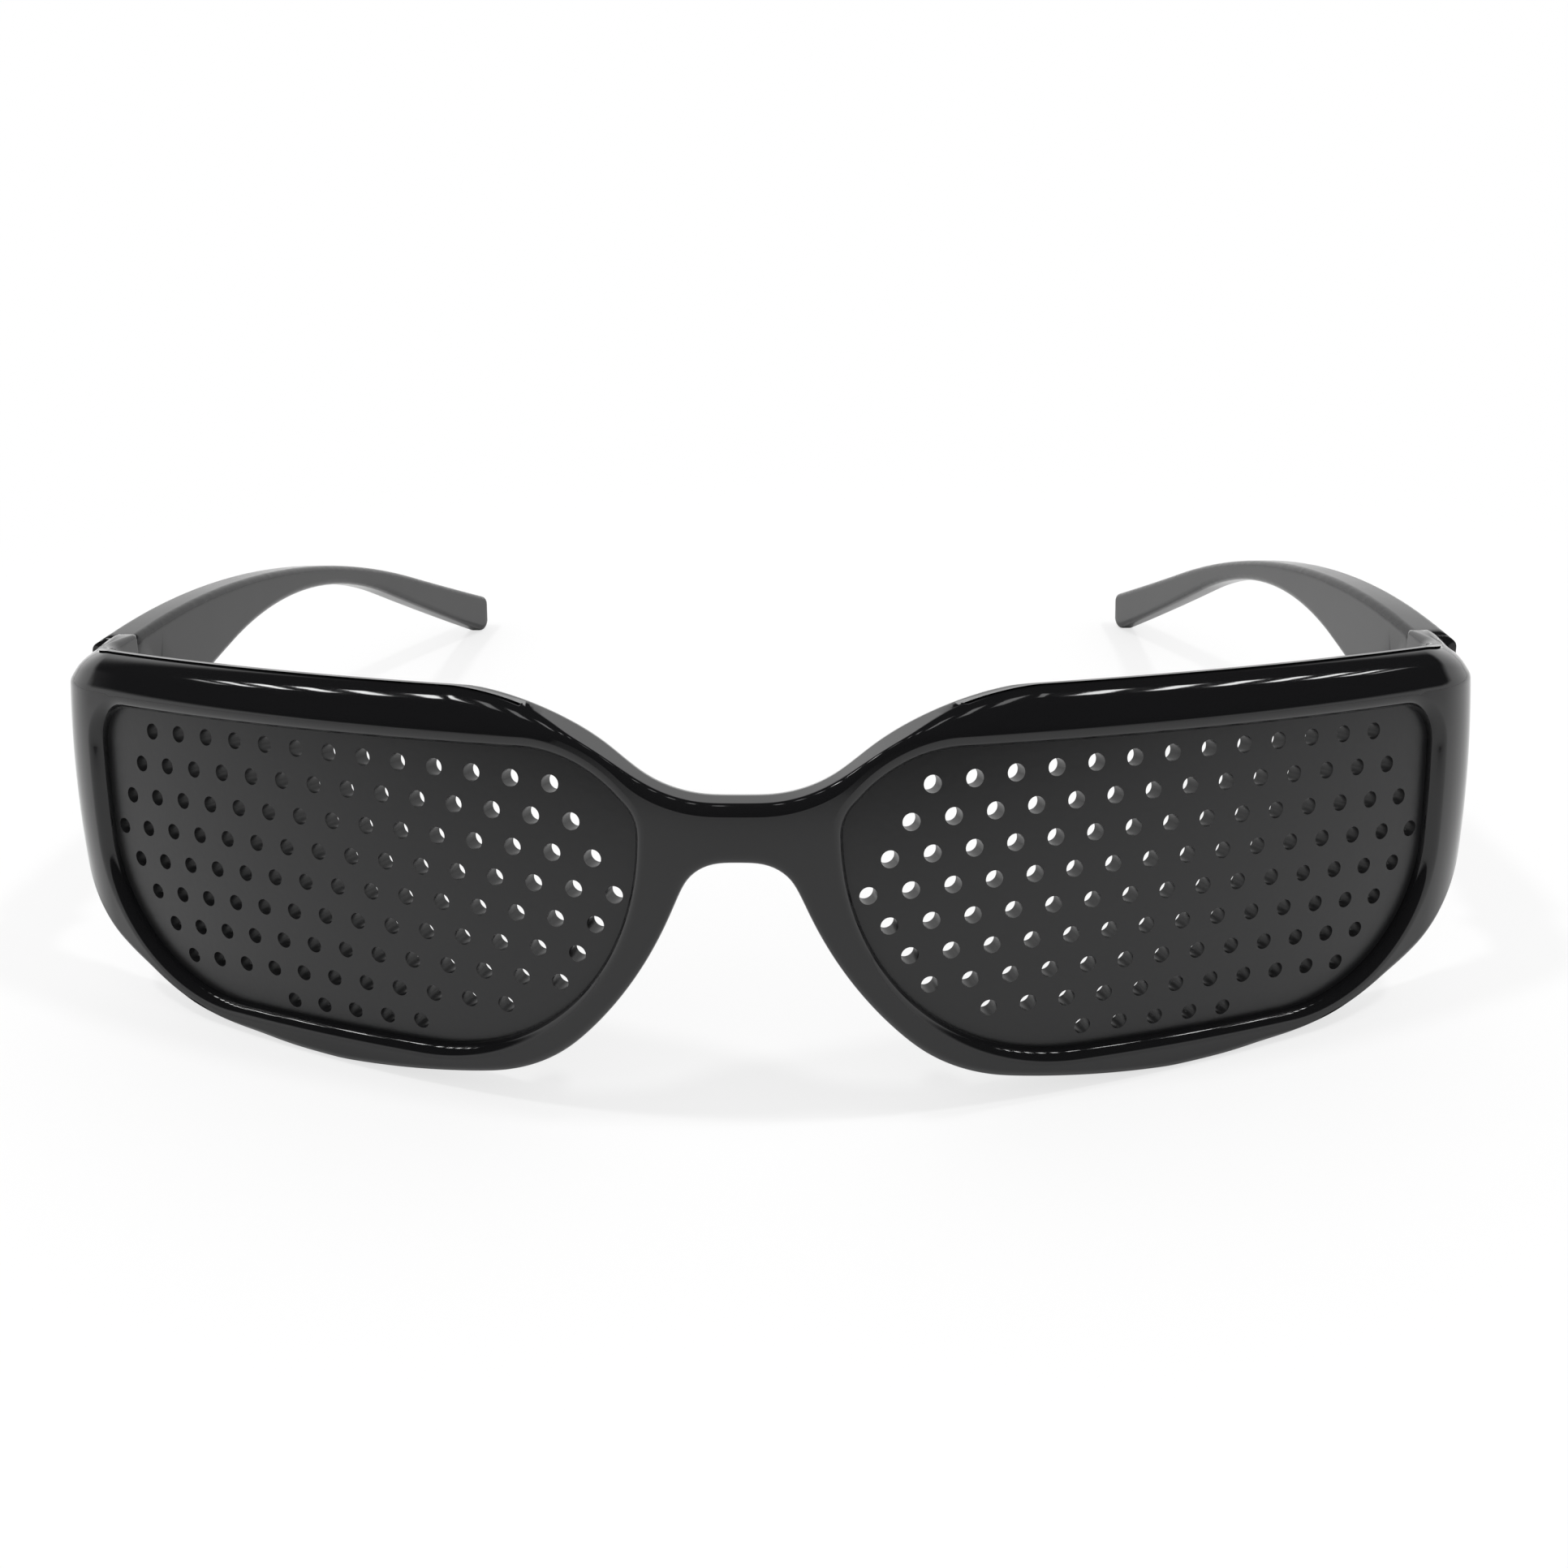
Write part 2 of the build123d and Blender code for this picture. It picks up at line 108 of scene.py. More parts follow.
# Polished injection-moulded plastic: faint flow waviness and hairline scratches
def mouldedPlastic(name, look):
    material, tree, shader, place = newMaterial(name, look["color"])
    shader.inputs["IOR"].default_value = look["ior"]
    wave = addNode(tree, "ShaderNodeTexNoise", Vector=place, Scale=look["waveScale"], Detail=2.0)
    grain = addNode(tree, "ShaderNodeTexNoise", Vector=place, Scale=look["grainScale"], Detail=4.0)
    stretched = addNode(tree, "ShaderNodeMapping", Vector=place, Scale=look["scratchStretch"])
    scratch = addNode(tree, "ShaderNodeTexNoise", Vector=stretched, Scale=look["scratchScale"], Detail=6.0)
    grainShift = (grain - 0.5) * look["roughnessSpread"]
    scratchShift = (scratch - 0.5) * look["scratchSpread"]
    rough = look["roughness"] + grainShift + scratchShift
    feed(tree, shader.inputs["Roughness"], rough)
    normal = addNode(
        tree, "ShaderNodeBump", Height=wave + grain * look["grainHeight"],
        Strength=look["bumpStrength"], Distance=look["bumpDistance"],
    )
    feed(tree, shader.inputs["Normal"], normal)
    return material


framePlastic = {
    "color": (0.007, 0.007, 0.0075),
    "ior": 1.47,
    "roughness": 0.055,
    "roughnessSpread": 0.03,
    "scratchSpread": 0.03,
    "waveScale": 90.0,
    "grainScale": 1400.0,
    "scratchStretch": (1.0, 1.0, 9.0),
    "scratchScale": 700.0,
    "grainHeight": 0.04,
    "bumpStrength": 0.10,
    "bumpDistance": 0.00025,
}
templePlastic = {**framePlastic, "color": (0.008, 0.008, 0.0085), "ior": 1.38, "roughness": 0.16}
platePlastic = {
    **framePlastic,
    "color": (0.009, 0.009, 0.0095),
    "ior": 1.45,
    "roughness": 0.3,
    "roughnessSpread": 0.08,
    "grainHeight": 0.25,
    "bumpStrength": 0.15,
}
frameMaterial = mouldedPlastic("framePlastic", framePlastic)
templeMaterial = mouldedPlastic("templePlastic", templePlastic)
plateMaterial = mouldedPlastic("platePlastic", platePlastic)


# Drawn steel for the hinges
def drawnSteel(name, look):
    material, tree, shader, place = newMaterial(name, look["color"])
    shader.inputs["Metallic"].default_value = 1.0
    stretched = addNode(tree, "ShaderNodeMapping", Vector=place, Scale=look["brushStretch"])
    brush = addNode(tree, "ShaderNodeTexNoise", Vector=stretched, Scale=look["brushScale"], Detail=5.0)
    feed(tree, shader.inputs["Roughness"], look["roughness"] + (brush - 0.5) * look["roughnessSpread"])
    normal = addNode(
        tree, "ShaderNodeBump", Height=brush, Strength=look["bumpStrength"], Distance=look["bumpDistance"]
    )
    feed(tree, shader.inputs["Normal"], normal)
    return material


hingeSteel = {
    "color": (0.48, 0.48, 0.49),
    "roughness": 0.28,
    "roughnessSpread": 0.12,
    "brushStretch": (1.0, 0.15, 1.0),
    "brushScale": 2600.0,
    "bumpStrength": 0.2,
    "bumpDistance": 0.00004,
}
steelMaterial = drawnSteel("hingeSteel", hingeSteel)
print("materials made")


# A node's finished piece: its triangles joined, then shaded smooth between its real edges
smoothing = {"weld": 0.000002, "sharpAngle": 32.0, "areaWeight": 50}


def finishNode(nodeName, pieceName, material):
    mesh = frame["nodes"][nodeName].data.copy()
    mesh.name = pieceName
    work = bmesh.new()
    work.from_mesh(mesh)
    bmesh.ops.remove_doubles(work, verts=work.verts, dist=smoothing["weld"])
    work.to_mesh(mesh)
    work.free()
    mesh.materials.clear()
    mesh.materials.append(material)
    mesh.polygons.foreach_set("use_smooth", [True] * len(mesh.polygons))
    mesh.set_sharp_from_angle(angle=radians(smoothing["sharpAngle"]))
    piece = bpy.data.objects.new(pieceName, mesh)
    bpy.context.scene.collection.objects.link(piece)
    weighted = piece.modifiers.new("areaNormals", "WEIGHTED_NORMAL")
    weighted.keep_sharp = True
    weighted.weight = smoothing["areaWeight"]
    bodies = frame["record"]["behaviour"]["bodies"]
    bodyOfNode = next(body for body, members in bodies.items() if nodeName in members)
    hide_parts(nodeName)
    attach(piece, bodyOfNode)


# The front moulding is drawn flat and then bent: along runs round the front from the bridge,
# up is up the front, deep is the depth behind its face. All in millimetres
front = {
    "lean": 8.0,
    "reach": 80.25,
    "middle": 23.8,
    "bridgeRadius": 44.3,
    "lensRadius": 202.0,
    "cornerRadius": 12.0,
    "bridgeTurn": 11.5,
    "cornerTurn": 30.35,
    "straight": 4.0,
    "bowRadius": 139.5,
    "thickness": 4.4,
    "browTop": 18.0,
    "bandStart": 14.6,
    "bandSlope": 34.0,
    "ridgeHalf": 0.34,
    "browDepth": 5.6,
    "swellStart": 12.0,
    "swellEnd": 15.0,
    "openingTurn": 21.26,
    "opening": (
        ((-27.6, 13.0), 13.0),
        ((31.3, 12.8), 4.3),
        ((31.7, -18.4), 16.3),
        ((-33.4, -18.4), 24.0),
        ((-33.4, 7.3), 3.7),
    ),
    "topRound": 1.8,
    "bridgeRound": 0.95,
    "lowRound": 1.1,
    "endRound": 0.35,
    "openingRound": 1.3,
    "backRound": 0.7,
    "topBackRound": 1.1,
    "bridgeBackRound": 2.0,
    "openingBackRound": 0.3,
    "shiftReach": 5.0,
    "shiftMost": 2.5,
    "wallFrom": 1.3,
    "wallTo": 2.1,
    "browFrom": 11.0,
    "browOver": 6.5,
    "endFade": 5.0,
    "rimSpare": 0.5,
    "step": 0.5,
    "facePitch": 1.0,
    "backPitch": 1.5,
    "roundSteps": 7,
    "backSteps": 4,
    "cornerSteps": 40,
    "mitreMost": 1.5,
}
# How the outline is found and smoothed: where the search starts and ends, its steps, smoothing passes
search = {
    "from": 6,
    "lowest": -27.0,
    "upStep": 0.02,
    "alongStep": 0.1,
    "footPasses": 3,
    "lowPasses": 40,
    "passes": 60,
    "roundPasses": 8,
}
# The points strewn over the flats: rows round the ridge, the lowest row, and shares of the pitch
strewn = {
    "ridgeRows": (-1.8, -1, -0.5, 0, 0.5, 1, 1.8),
    "lowest": -26.0,
    "rowShare": 0.87,
    "ridgeSpare": 0.55,
    "offRidge": 0.4,
    "spare": 0.45,
}
# The outline seen from straight ahead: across and above the table
outline = {
    "archHeight": 27.1,
    "archFlat": 1.2,
    "archSide": (5.4, 24.2),
    "low": ((15.7, 8.0), (25.4, 2.6), (42.5, 0.0)),
    "footOuter": 46.5,
    "high": ((66.4, 4.2), (76.83, 18.4)),
    "cornerTop": (76.93, 34.6),
    "browEnd": (64.0, 38.6),
    "cornerFall": 24.0,
    "bridgeTop": 32.5,
    "bridgeTopFlat": 2.2,
    "swoopSteep": 34.0,
    "swoopShallow": 6.0,
    "swoopInner": 14.3,
    "swoopOuter": 31.0,
    "clear": 42.0,
    "wrapKnee": (32.0, -7.0),
    "wrapFoot": (26.5, -32.0),
    "endPieceLow": 3.9,
}
leanCos, leanSin = cos(radians(front["lean"])), sin(radians(front["lean"]))
lensShift = front["bridgeRadius"] - front["lensRadius"]
bridgeTurn, cornerTurn = radians(front["bridgeTurn"]), radians(front["cornerTurn"])
lensCentre = (lensShift * sin(bridgeTurn), front["bridgeRadius"] - lensShift * cos(bridgeTurn))
cornerShift = front["lensRadius"] - front["cornerRadius"]
cornerCentre = (
    lensCentre[0] + cornerShift * sin(cornerTurn), lensCentre[1] - cornerShift * cos(cornerTurn)
)
butt = cornerCentre[1] + front["straight"]
alongLens = front["bridgeRadius"] * bridgeTurn
alongCorner = alongLens + front["lensRadius"] * (cornerTurn - bridgeTurn)
alongSide = alongCorner + front["cornerRadius"] * (radians(90) - cornerTurn)
alongButt = alongSide + front["straight"]


def bowDepth(up, radius):
    return radius - np.sqrt(radius * radius - up * up)


# Depth of the face: bowed, then the sloping brow band, with a rounded ridge between
def faceDepth(up):
    radius, half, ridge = front["bowRadius"], front["ridgeHalf"], front["bandStart"]
    slope = tan(radians(front["bandSlope"]))
    first = bowDepth(np.minimum(up, ridge - half), radius)
    startSlope = (ridge - half) / np.sqrt(radius * radius - (ridge - half) ** 2)
    along = np.clip(up - (ridge - half), 0, 2 * half)
    bend = startSlope * along + (slope - startSlope) * along * along / (4 * half)
    return first + bend + slope * np.maximum(up - ridge - half, 0)


def backDepth(up):
    radius = front["bowRadius"] - front["thickness"]
    low = front["thickness"] + bowDepth(np.minimum(up, front["swellEnd"]), radius)
    swell = np.clip((up - front["swellStart"]) / (front["swellEnd"] - front["swellStart"]), 0, 1)
    swell = swell * swell * (3 - 2 * swell)
    return low + (front["browDepth"] - low) * swell


# A point in the front's own upright frame, from its place along, up and its depth
def bendRound(along, up, depth):
    run = np.abs(along)
    bridge, lens, corner = front["bridgeRadius"], front["lensRadius"], front["cornerRadius"]

    def byArc(onBridge, onLens, onCorner):
        return np.where(run < alongLens, onBridge, np.where(run < alongCorner, onLens, onCorner))

    lensRun, cornerRun = (run - alongLens) / lens, (run - alongCorner) / corner
    turn = np.minimum(byArc(run / bridge, bridgeTurn + lensRun, cornerTurn + cornerRun), radians(90))
    centreX = byArc(0, lensCentre[0], cornerCentre[0])
    centreY = byArc(bridge, lensCentre[1], cornerCentre[1])
    radius = byArc(bridge, lens, corner)
    across = centreX + (radius - depth) * np.sin(turn)
    back = centreY - (radius - depth) * np.cos(turn) + np.maximum(run - alongSide, 0)
    return np.sign(along) * across, back, up


def tangentArc(start, heading, end, count=24):
    chord = (end[0] - start[0], end[1] - start[1])
    length = sqrt(chord[0] ** 2 + chord[1] ** 2)
    half = (atan2(chord[1], chord[0]) - heading + pi) % (2 * pi) - pi
    points = []
    for index in range(1, count + 1):
        share = half * index / count
        reach = length * (sin(share) / sin(half) if abs(half) > 0.0001 else index / count)
        points.append((start[0] + reach * cos(heading + share), start[1] + reach * sin(heading + share)))
    return points, heading + 2 * half


def outlineLow():
    points = [(0.0, outline["archHeight"]), (outline["archFlat"], outline["archHeight"])]
    heading = 0.0
    for corner in (outline["archSide"], *outline["low"]):
        arc, heading = tangentArc(points[-1], heading, corner)
        points += arc
    points.append((outline["footOuter"], 0.0))
    heading = 0.0
    for corner in outline["high"]:
        arc, heading = tangentArc(points[-1], heading, corner)
        points += arc
    return np.array(points)


def outlineTop():
    steep, shallow = radians(outline["swoopSteep"]), radians(outline["swoopShallow"])
    inner, outer, first = outline["swoopInner"], outline["swoopOuter"], outline["bridgeTopFlat"]
    middle = (first + inner * sin(steep), outline["bridgeTop"] + inner * (1 - cos(steep)))
    end = (
        middle[0] + outer * (sin(steep) - sin(shallow)), middle[1] + outer * (cos(shallow) - cos(steep))
    )
    points = [(0.0, outline["bridgeTop"]), (first, outline["bridgeTop"])]
    points += tangentArc(points[-1], 0.0, middle)[0]
    points += tangentArc(middle, steep, end)[0]
    points.append((end[0] + (outline["clear"] - end[1]) / tan(shallow), outline["clear"]))
    browEnd, cornerTop = outline["browEnd"], outline["cornerTop"]
    chord = (cornerTop[0] - browEnd[0], cornerTop[1] - browEnd[1])
    half = asin(sqrt(chord[0] ** 2 + chord[1] ** 2) / 2 / outline["cornerFall"])
    points += [(browEnd[0] - 0.01, outline["clear"]), browEnd]
    points += tangentArc(browEnd, atan2(chord[1], chord[0]) + half, cornerTop)[0]
    return np.array(points)


lowLine, topLine = outlineLow(), outlineTop()


def isPlastic(along, up, depth):
    across, back, up = bendRound(along, up, depth)
    height = front["middle"] - leanSin * back + leanCos * up
    inside = (height > np.interp(across, *lowLine.T)) & (height < np.interp(across, *topLine.T))
    knee, foot, low = outline["wrapKnee"], outline["wrapFoot"], outline["endPieceLow"]
    rise, run = knee[1] - low, knee[0] - butt
    radius = (rise * rise + run * run) / (2 * abs(rise))
    arc = butt - np.sqrt(np.maximum(radius * radius - (up - low + radius) ** 2, 0))
    line = knee[0] + (up - knee[1]) * (knee[0] - foot[0]) / (knee[1] - foot[1])
    cutFrom = np.where(up > low, np.inf, np.where(up > knee[1], arc, line))
    return inside & (back < cutFrom)


# How far up and down the plastic reaches at each place along, at the face or at the back
def edgeHeights(along, depthOf, direction, limit):
    start = search["from"]
    levels = start + direction * np.arange(0, abs(limit - start), search["upStep"])
    grid = np.broadcast_to(levels, (len(along), len(levels)))
    places = np.broadcast_to(along[:, None], grid.shape)
    outside = ~isPlastic(places, grid, depthOf(grid))
    first = np.where(outside.any(axis=1), outside.argmax(axis=1), len(levels) - 1)
    return np.where(outside.any(axis=1), levels[first], limit)


samples = np.arange(0, alongButt + search["alongStep"] / 2, search["alongStep"])
samples[-1] = alongButt
beforeButt = np.minimum(samples, alongButt - 0.001)
edges = {}
for name, depthOf in (("face", faceDepth), ("back", backDepth)):
    edges["low", name] = edgeHeights(beforeButt, depthOf, -1, search["lowest"])
    edges["top", name] = edgeHeights(beforeButt, depthOf, 1, front["browTop"])


def smoothRun(values, passes):
    values = np.array(values, dtype=float)
    for turn in range(passes):
        values[1:-1] = (values[:-2] + 2 * values[1:-1] + values[2:]) / 4
    return values


# How far the back's edge stands above or below the face's
lowShift = np.clip(edges["low", "back"] - edges["low", "face"], -front["shiftMost"], front["shiftMost"])
lowShift = smoothRun(lowShift, search["passes"])
topShift = smoothRun(edges["top", "back"] - edges["top", "face"], search["passes"])


# From the flat drawing to millimetres in the CAD's frame
def bendFront(along, up, deep):
    thickness = front["thickness"]
    run = np.abs(along)
    low = np.interp(run, samples, edges["low", "face"])
    top = np.interp(run, samples, edges["top", "face"])
    fromLow, fromTop = (1 - np.clip(gap / front["shiftReach"], 0, 1) for gap in (up - low, top - up))
    shift = np.interp(run, samples, lowShift) * fromLow * fromLow * (3 - 2 * fromLow)
    shift += np.interp(run, samples, topShift) * fromTop * fromTop * (3 - 2 * fromTop)
    up = up + shift * np.clip(deep / thickness, 0, 1)
    firstDeep, lastDeep = front["wallFrom"], thickness - front["wallTo"]
    blend = np.clip((deep - firstDeep) / (lastDeep - firstDeep), 0, 1)
    depth = (faceDepth(up) + deep) * (1 - blend) + (backDepth(up) - thickness + deep) * blend
    across, back, up = bendRound(along, up, depth)
    return np.stack([
        across,
        -front["reach"] + leanCos * back + leanSin * up,
        front["middle"] - leanSin * back + leanCos * up,
    ], axis=1)


# Normals of the bent surface, from its normals in the flat drawing
def bendNormals(flat, normals):
    step = 0.002
    slopes = []
    for axis in range(3):
        more, less = flat.copy(), flat.copy()
        more[:, axis] += step
        less[:, axis] -= step
        slopes.append(bendFront(*more.T) - bendFront(*less.T))
    a, b, c = slopes
    across, upward, inward = normals[:, :1], normals[:, 1:2], normals[:, 2:]
    turned = across * np.cross(b, c) + upward * np.cross(c, a) + inward * np.cross(a, b)
    turned *= np.sign(np.einsum("ij,ij->i", a, np.cross(b, c)))[:, None]
    return turned / np.linalg.norm(turned, axis=1)[:, None]


def evenly(points, step):
    points = np.asarray(points, dtype=float)
    lengths = np.concatenate([[0], np.cumsum(np.linalg.norm(np.diff(points, axis=0), axis=1))])
    count = max(2, round(lengths[-1] / step) + 1)
    marks = np.linspace(0, lengths[-1], count)
    return np.stack([np.interp(marks, lengths, column) for column in points.T], axis=1)


# The outline as one loop, against the clock, with the rounding each point gets
def outerLoop():
    step = front["step"]
    both = np.concatenate([-samples[:0:-1], samples])
    low = np.concatenate([edges["low", "face"][:0:-1], edges["low", "face"]])
    top = np.concatenate([edges["top", "face"][:0:-1], edges["top", "face"]])
    lowPoints = evenly(np.stack([both, smoothRun(low, search["lowPasses"])], axis=1), step)
    topPoints = evenly(np.stack([both, smoothRun(top, search["passes"])], axis=1), step)[::-1]
    lowPoints[:, 1] = smoothRun(lowPoints[:, 1], search["footPasses"])
    riseRight = evenly([lowPoints[-1], topPoints[0]], step)[1:-1]
    riseLeft = evenly([topPoints[-1], lowPoints[0]], step)[1:-1]
    points = np.concatenate([lowPoints, riseRight, topPoints, riseLeft])
    high = np.clip((topPoints[:, 1] - front["browFrom"]) / front["browOver"], 0, 1)
    towardsEnd = np.clip((alongButt - np.abs(points[:, 0])) / front["endFade"], 0, 1)
    rounds = np.concatenate([
        np.full(len(lowPoints), front["lowRound"]),
        np.full(len(riseRight), front["endRound"]),
        front["bridgeRound"] + (front["topRound"] - front["bridgeRound"]) * high,
        np.full(len(riseLeft), front["endRound"]),
    ])
    backRounds = np.concatenate([
        np.full(len(lowPoints), front["backRound"]),
        np.full(len(riseRight), front["endRound"]),
        front["bridgeBackRound"] + (front["topBackRound"] - front["bridgeBackRound"]) * high,
        np.full(len(riseLeft), front["endRound"]),
    ])
    rounds = front["endRound"] + (rounds - front["endRound"]) * towardsEnd
    backRounds = front["endRound"] + (backRounds - front["endRound"]) * towardsEnd
    return points, rounds, smoothRun(backRounds, search["roundPasses"])


# The opening's five corners rounded, clockwise so that the plastic is on the left
def openingLoop(side):
    corners = front["opening"]
    points = []
    for index, (corner, radius) in enumerate(corners):
        before = Vector(corners[index - 1][0]) - Vector(corner)
        after = Vector(corners[(index + 1) % len(corners)][0]) - Vector(corner)
        half = before.angle(after) / 2
        reach = radius / tan(half)
        start = Vector(corner) + before.normalized() * reach
        end = Vector(corner) + after.normalized() * reach
        arc, heading = tangentArc(tuple(start), atan2(-before.y, -before.x), tuple(end), front["cornerSteps"])
        points += [tuple(start), *arc]
    points = evenly(points + points[:1], front["step"])[:-1]
    radius = front["lensRadius"] - faceDepth(points[:, 1])
    turn = radians(front["openingTurn"]) + np.arcsin(points[:, 0] / radius)
    points[:, 0] = alongLens + (turn - bridgeTurn) * front["lensRadius"]
    if side < 0:
        points = points[::-1] * (-1, 1)
    return points


def loopNormals(points):
    steps = np.roll(points, -1, axis=0) - points
    steps /= np.linalg.norm(steps, axis=1)[:, None]
    normals = np.stack([-steps[:, 1], steps[:, 0]], axis=1)
    mitre = normals + np.roll(normals, 1, axis=0)
    mitre /= np.linalg.norm(mitre, axis=1)[:, None]
    return mitre, np.minimum(1 / np.einsum("ij,ij->i", mitre, normals), front["mitreMost"])


# One loop's rounded edge, rows from the flat towards the wall
def roundRows(points, rounds, steps, atBack):
    mitre, stretch = loopNormals(points)
    rows = []
    for index in range(steps + 1):
        turn = radians(90) * index / steps
        inset = rounds * (1 - sin(turn)) * stretch
        deep = rounds * (1 - cos(turn))
        flat = np.concatenate([points + mitre * inset[:, None], deep[:, None]], axis=1)
        normal = np.concatenate([-mitre * sin(turn), np.full((len(points), 1), -cos(turn))], axis=1)
        if atBack:
            flat[:, 2] = front["thickness"] - flat[:, 2]
            normal[:, 2] *= -1
        rows.append((flat, normal))
    return rows


# Triangles over the flat between the loops, with rows of points that follow the ridge
def fillFlat(loops, deep, facing, pitch):
    points = [tuple(point) for loop in loops for point in loop[:, :2]]
    links = []
    start = 0
    for loop in loops:
        links += [(start + index, start + (index + 1) % len(loop)) for index in range(len(loop))]
        start += len(loop)
    rings = np.concatenate([loop[:, :2] for loop in loops])
    tree = KDTree(len(rings))
    for index, point in enumerate(rings):
        tree.insert((point[0], point[1], 0), index)
    tree.balance()

    def isFree(along, up, spare):
        if tree.find((along, up, 0))[2] < spare:
            return False
        crossings = 0
        for loop in flatLoops:
            low, high = loop[:-1], loop[1:]
            spans = (low[:, 1] > up) != (high[:, 1] > up)
            meets = low[spans, 0] + (up - low[spans, 1]) / (high[spans, 1] - low[spans, 1]) * (
                high[spans, 0] - low[spans, 0]
            )
            crossings += int((meets > along).sum())
        return crossings % 2 == 1

    flatLoops = [np.concatenate([loop[:, :2], loop[:1, :2]]) for loop in loops]
    half = front["ridgeHalf"]
    ridgeRows = [half * share for share in strewn["ridgeRows"]] if facing < 0 else []
    count = round(alongButt / pitch)
    grid = [index * alongButt / count for index in range(-count, count + 1)]
    for offset in ridgeRows:
        last = None
        for along in grid:
            up = front["bandStart"] + offset
            if isFree(along, up, strewn["ridgeSpare"] * pitch):
                points.append((along, up))
                if last is not None:
                    links.append((last, len(points) - 1))
                last = len(points) - 1
            else:
                last = None
    level = strewn["lowest"]
    row = 0
    while level < front["browTop"]:
        for along in grid:
            along += pitch * 0.5 * (row % 2)
            offRidge = abs(level - front["bandStart"])
            clear = not ridgeRows or offRidge > ridgeRows[-1] + strewn["offRidge"] * pitch
            if clear and isFree(along, level, strewn["spare"] * pitch):
                points.append((along, level))
        level += pitch * strewn["rowShare"]
        row += 1
    made = delaunay_2d_cdt([Vector(point) for point in points], links, [], 1, 0.00001)
    madeFaces, sources = made[2], made[3]
    ends = np.cumsum([len(loop) for loop in loops])
    total = int(ends[-1])
    flat = np.array([(*points[index], deep) for index in range(total, len(points))])
    normals = np.tile((0.0, 0.0, facing), (len(flat), 1))
    indexOf = [source[0] if source else -1 for source in sources]
    faces = []
    for face in madeFaces:
        corners = [indexOf[index] for index in face]
        if min(corners) < 0:
            continue
        holes = [int(np.searchsorted(ends, corner, side="right")) for corner in corners]
        if 0 < holes[0] < len(loops) and holes[0] == holes[1] == holes[2]:
            continue
        faces.append(corners)
    return flat, normals, faces


def makeFront():
    outerPoints, outerRounds, backRounds = outerLoop()
    openings = [openingLoop(side) for side in (1, -1)]
    # The rim is narrow beside the openings, so there the outer rounding gives way
    others = np.concatenate(openings)
    room = np.array([np.linalg.norm(others - point, axis=1).min() for point in outerPoints])
    spare = front["rimSpare"]
    outerRounds = np.minimum(outerRounds, room - front["openingRound"] - spare)
    backRounds = np.minimum(backRounds, room - front["openingBackRound"] - spare)
    outerRounds, backRounds = (smoothRun(rounds, search["roundPasses"]) for rounds in (outerRounds, backRounds))
    loops = [(outerPoints, outerRounds, backRounds)]
    for points in openings:
        loops.append((
            points,
            np.full(len(points), front["openingRound"]),
            np.full(len(points), front["openingBackRound"]),
        ))
    flats, normals, faces = [], [], []
    count = 0
    inner = {"face": [], "back": []}
    starts = {"face": [], "back": []}
    for points, rounds, backRounds in loops:
        rows = roundRows(points, rounds, front["roundSteps"], False)
        rows += roundRows(points, backRounds, front["backSteps"], True)[::-1]
        first = count
        for flat, normal in rows:
            flats.append(flat)
            normals.append(normal)
        size = len(points)
        for row in range(len(rows) - 1):
            for index in range(size):
                following = (index + 1) % size
                a, b = first + row * size + index, first + row * size + following
                faces.append((a, b, b + size, a + size))
        count += size * len(rows)
        inner["face"].append(rows[0][0])
        inner["back"].append(rows[-1][0])
        starts["face"].append(first)
        starts["back"].append(first + size * (len(rows) - 1))
    for name, deep, facing, pitch in (
        ("face", 0.0, -1.0, front["facePitch"]), ("back", front["thickness"], 1.0, front["backPitch"])
    ):
        flat, normal, filled = fillFlat(inner[name], deep, facing, pitch)
        sizes = [len(loop) for loop in inner[name]]
        indexOf = [starts[name][place] + index for place, size in enumerate(sizes) for index in range(size)]
        indexOf += range(count, count + len(flat))
        faces += [tuple(indexOf[corner] for corner in face) for face in filled]
        flats.append(flat)
        normals.append(normal)
        count += len(flat)
    flat, normal = np.concatenate(flats), np.concatenate(normals)
    return bendFront(*flat.T), bendNormals(flat, normal), faces


# Nose pads behind the nose legs: a slot shape that narrows a little and has a rounded end
pads = {
    "middle": (11.9, -6.5),
    "length": 11.0,
    "width": 3.2,
    "tilt": 57.0,
    "from": 4.8,
    "to": 9.0,
    "taper": 4.0,
    "round": 1.2,
    "around": 40,
    "roundSteps": 6,
}


def makePad(side):
    half, straight = pads["width"] / 2, (pads["length"] - pads["width"]) / 2
    around, steps = pads["around"], pads["roundSteps"]
    outlinePoints = []
    for index in range(around):
        turn = radians(360) * index / around
        outlinePoints.append((cos(turn), sin(turn), straight if sin(turn) > 0 else -straight))
    rows = [(pads["from"], 0.0)]
    for index in range(steps + 1):
        turn = radians(90) * index / steps
        rows.append((pads["to"] - pads["round"] * (1 - sin(turn)), pads["round"] * (1 - cos(turn))))
    points, faces = [], []
    tilt = radians(pads["tilt"])
    for deep, inset in rows:
        radius = half - inset - (deep - pads["from"]) * tan(radians(pads["taper"]))
        for x, y, run in outlinePoints:
            a, b = radius * x, radius * y + run
            across = pads["middle"][0] + a * sin(tilt) + b * cos(tilt)
            up = pads["middle"][1] + a * cos(tilt) - b * sin(tilt)
            points.append((
                side * across,
                -front["reach"] + leanCos * deep + leanSin * up,
                front["middle"] - leanSin * deep + leanCos * up,
            ))
    for first in range(0, around * (len(rows) - 1), around):
        for index in range(around):
            a, b = first + index, first + (index + 1) % around
            faces.append((a, b, b + around, a + around))
    faces.append(tuple(range(around)))
    faces.append(tuple(range(around * (len(rows) - 1), around * len(rows))))
    return points, faces


